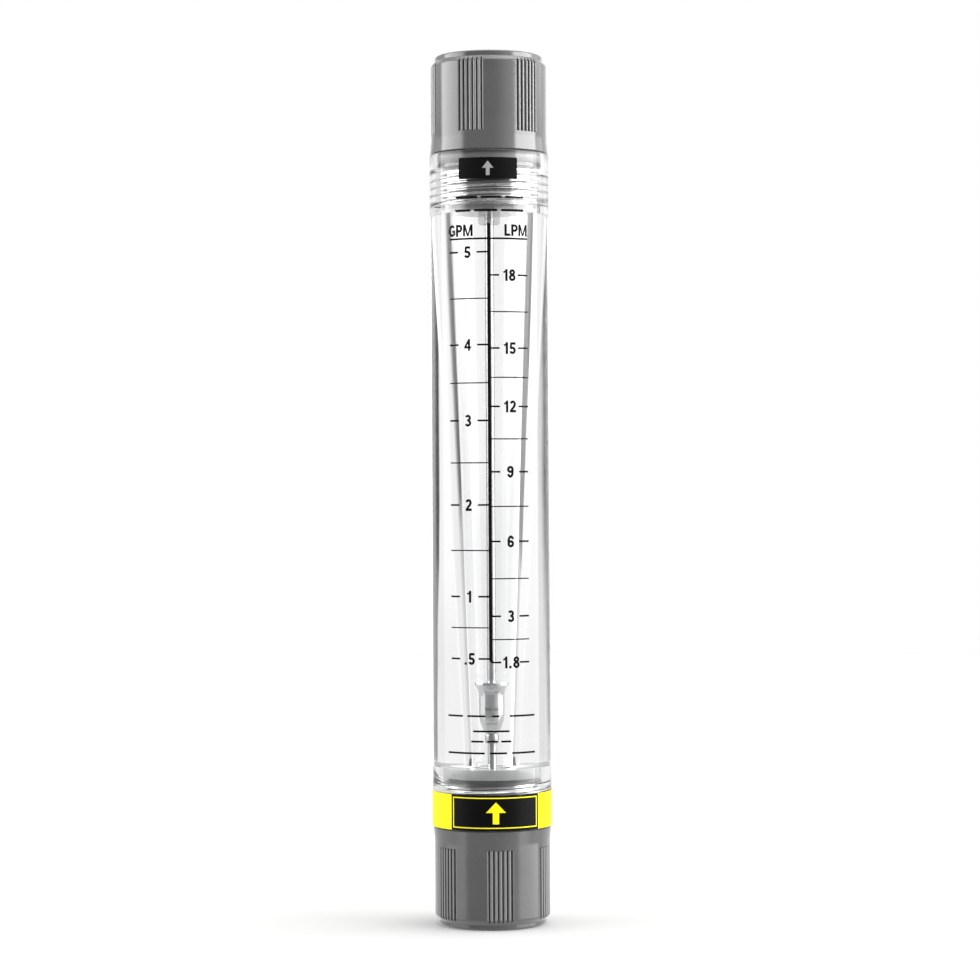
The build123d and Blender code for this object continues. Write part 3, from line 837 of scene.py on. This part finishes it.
# ------------------------------------------------------------------------------- studio
def make_world():
    """A bright backdrop behind, a tall soft light on each side, and a dim room in front.
    The camera itself sees plain white."""
    s = Shader("studio", world=True)
    coord = s.add("ShaderNodeTexCoord")
    xyz = s.add("ShaderNodeSeparateXYZ")
    s.link(coord.outputs["Generated"], xyz.inputs[0])
    x, y, z = (xyz.outputs[k] for k in "XYZ")
    degrees = 180.0 / math.pi
    # 0 towards the front, +90 on the right, -90 on the left
    azimuth = s.math("MULTIPLY", s.math("ARCTAN2", x, s.math("MULTIPLY", y, -1.0)), degrees)
    elevation = s.math("MULTIPLY", s.math("ARCSINE", z), degrees)
    left = s.math("MULTIPLY", azimuth, -1.0)

    def blend(base, value, factor):
        return s.math("ADD", s.math("MULTIPLY", base, s.math("SUBTRACT", 1.0, factor)), s.math("MULTIPLY", value, factor))

    size = s.math("ABSOLUTE", azimuth)

    # the dim room in front, which brightens a little towards the right-hand light
    level = s.math("ADD", ROOM, s.math("MULTIPLY", s.ramp(azimuth, 8.0, 50.0), s.ramp(elevation, -2.0, 4.0, 0.35, 0.95)))

    # the dark gaps between each light and the backdrop: low down the pale table fills
    # them, and high up the lights' own glow
    gap_left = blend(s.ramp(elevation, -4.6, -5.4, GAP_LEFT, 0.46), 0.60, s.ramp(elevation, -5.4, -7.2))
    gap_right = blend(s.ramp(elevation, -5.2, -6.2, GAP_RIGHT, 0.58), 0.70, s.ramp(elevation, -6.2, -7.4))
    darkest = s.math("MULTIPLY", s.ramp(azimuth, 120.5, 125.0), s.ramp(elevation, -2.1, -1.3))
    gap_right = s.math("SUBTRACT", gap_right, s.math("MULTIPLY", darkest, GAP_RIGHT - 0.03))
    on_right = s.math("GREATER_THAN", azimuth, 0.0)
    gap = blend(blend(gap_left, gap_right, on_right), GLOW, s.ramp(elevation, 4.5, 9.0))
    gap = s.math("ADD", gap, s.math("MULTIPLY", s.ramp(elevation, 6.0, 8.0), s.math("ADD", 0.45, s.math("MULTIPLY", on_right, 0.95))))
    level = blend(level, gap, s.ramp(size, 96.0, 104.0))

    # two tall soft lights, each stronger above the table than at its foot
    top_edge = s.ramp(elevation, 34.0, 46.0, 1.0, 0.0)
    left_top = s.ramp(left, 60.0, 99.0, LEFT_LIGHT * 0.62, LEFT_LIGHT, smooth=False)
    left_level = s.math("MULTIPLY", blend(LEFT_FOOT, left_top, s.ramp(elevation, -4.0, 9.0)), top_edge)
    right_foot = s.ramp(azimuth, 60.0, 100.0, RIGHT_FOOT, RIGHT_FOOT * 1.65, smooth=False)
    right_level = s.math("MULTIPLY", blend(right_foot, RIGHT_LIGHT, s.ramp(elevation, -5.0, 9.0, smooth=False)), top_edge)
    left_end = s.math("SUBTRACT", left, s.ramp(elevation, 3.0, 7.0, 0.0, 4.5))
    left_light = s.math("MULTIPLY", s.ramp(left, 48.5, 59.5), s.ramp(left_end, 101.5, 105.5, 1.0, 0.0))
    level = blend(level, left_level, left_light)
    right_end = s.math("SUBTRACT", azimuth, s.ramp(elevation, 3.0, 7.0, 0.0, 2.4))
    right_light = s.math("MULTIPLY", s.ramp(azimuth, 52.2, 55.8), s.ramp(right_end, 102.2, 105.8, 1.0, 0.0))
    level = blend(level, right_level, right_light)

    # underfoot: the pale table seen steeply, dimmer towards the front
    level = blend(level, UNDER, s.math("MULTIPLY", s.ramp(elevation, -7.0, -13.0), s.ramp(size, 60.0, 85.0)))
    level = blend(level, s.ramp(size, 50.0, 90.0, UNDER * 0.78, UNDER), s.ramp(elevation, -14.0, -32.0))

    # the bright backdrop. Its left edge is soft and leans, its right edge is sharp
    backdrop = s.ramp(elevation, -1.5, -3.5, BACKDROP, BACKDROP * 0.91)
    near_left = blend(s.ramp(elevation, 0.0, 2.5, 0.84, 0.74), backdrop, s.ramp(left, 145.0, 162.0))
    lean = s.math("MULTIPLY", s.math("MINIMUM", 0.0, s.math("MAXIMUM", -4.6, elevation)), 2.6)
    left_now = s.math("SUBTRACT", left, lean)
    level = blend(level, near_left, s.ramp(left_now, 121.0, s.ramp(elevation, 0.0, 2.0, 140.0, 136.0)))
    drop = s.math("ADD", s.ramp(elevation, -1.3, -3.2, 0.0, 5.0), s.math("ADD", s.ramp(elevation, -3.5, -4.6, 0.0, 2.0), s.ramp(elevation, -5.4, -6.3, 0.0, 6.0)))
    right_now = s.math("ADD", azimuth, drop)
    right_now = s.math("SUBTRACT", right_now, s.ramp(elevation, -1.3, -0.3, 0.0, 1.2))
    level = blend(level, backdrop, s.ramp(right_now, 129.4, 133.4))

    level = s.math("ADD", level, s.math("MULTIPLY", s.ramp(elevation, 40.0, 75.0), OVERHEAD))
    room = s.add("ShaderNodeBackground")
    colour = s.add("ShaderNodeCombineXYZ")
    for socket in colour.inputs:
        s.link(level, socket)
    s.link(colour.outputs[0], room.inputs["Color"])
    plain = s.add("ShaderNodeBackground")
    plain.inputs["Color"].default_value = (1.0, 1.0, 1.0, 1.0)
    plain.inputs["Strength"].default_value = 1.0
    path = s.add("ShaderNodeLightPath")
    pick = s.add("ShaderNodeMixShader")
    s.link(path.outputs["Is Camera Ray"], pick.inputs[0])
    s.link(room.outputs[0], pick.inputs[1])
    s.link(plain.outputs[0], pick.inputs[2])
    out = s.add("ShaderNodeOutputWorld")
    s.link(pick.outputs[0], out.inputs["Surface"])
    scene.world = s.owner


ROOM = 0.34
GAP_LEFT, GAP_RIGHT = 0.07, 0.19
GLOW = 0.9
UNDER = 0.80
BACKDROP = 1.0
LEFT_LIGHT, LEFT_FOOT = 5.4, 1.15
RIGHT_LIGHT, RIGHT_FOOT = 6.9, 1.75
OVERHEAD = 1.2
make_world()


def make_floor():
    s = Shader("floor_pale")
    n = s.noise(s.place(), 9.0, 4.0)
    colour = s.mix(s.ramp(n, 0.3, 0.7), grey(0.66), grey(0.68))
    bsdf = s.principled(Base_Color=colour, Roughness=s.ramp(n, 0.3, 0.7, 0.75, 0.85), IOR=1.35)
    material = s.out(bsdf.outputs[0])
    bm = bmesh.new()
    bmesh.ops.create_circle(bm, cap_ends=True, cap_tris=False, segments=128, radius=1.2)
    me = bpy.data.meshes.new("floor")
    bm.to_mesh(me)
    bm.free()
    me.materials.append(material)
    ob = bpy.data.objects.new("floor", me)
    scene.collection.objects.link(ob)
    # what gloss and the clear body show below the horizon is the studio's own table
    ob.visible_glossy = False
    ob.visible_transmission = False


make_floor()


# ------------------------------------------------------------------------------- camera
camera = bpy.data.objects.new("camera", bpy.data.cameras.new("camera"))
scene.collection.objects.link(camera)
camera.data.sensor_width = 36.0
camera.data.lens = 2822.0 / 980.0 * 36.0
camera.data.clip_start, camera.data.clip_end = 0.05, 20.0
camera.data.dof.use_dof = False
camera.location = (0.0, -0.760, 0.1179)
pitch = -math.atan(5.0 / 2822.0)
yaw = math.atan(0.6 / 2822.0)
roll = math.radians(0.31)
camera.rotation_mode = "QUATERNION"
look = Matrix.Rotation(yaw, 4, "Z") @ Matrix.Rotation(math.radians(90.0) + pitch, 4, "X") @ Matrix.Rotation(-roll, 4, "Z")
camera.rotation_quaternion = look.to_quaternion()
scene.camera = camera

# ------------------------------------------------------------------------ view settings
scene.view_settings.view_transform = "Standard"
scene.view_settings.look = "None"
scene.view_settings.exposure = 0.0
scene.view_settings.gamma = 1.0
scene.cycles.max_bounces = 20
scene.cycles.transmission_bounces = 16
scene.cycles.glossy_bounces = 8
scene.cycles.diffuse_bounces = 4
scene.cycles.transparent_max_bounces = 16
scene.cycles.caustics_reflective = False
scene.cycles.caustics_refractive = False
scene.cycles.blur_glossy = 0.2
scene.cycles.use_denoising = True
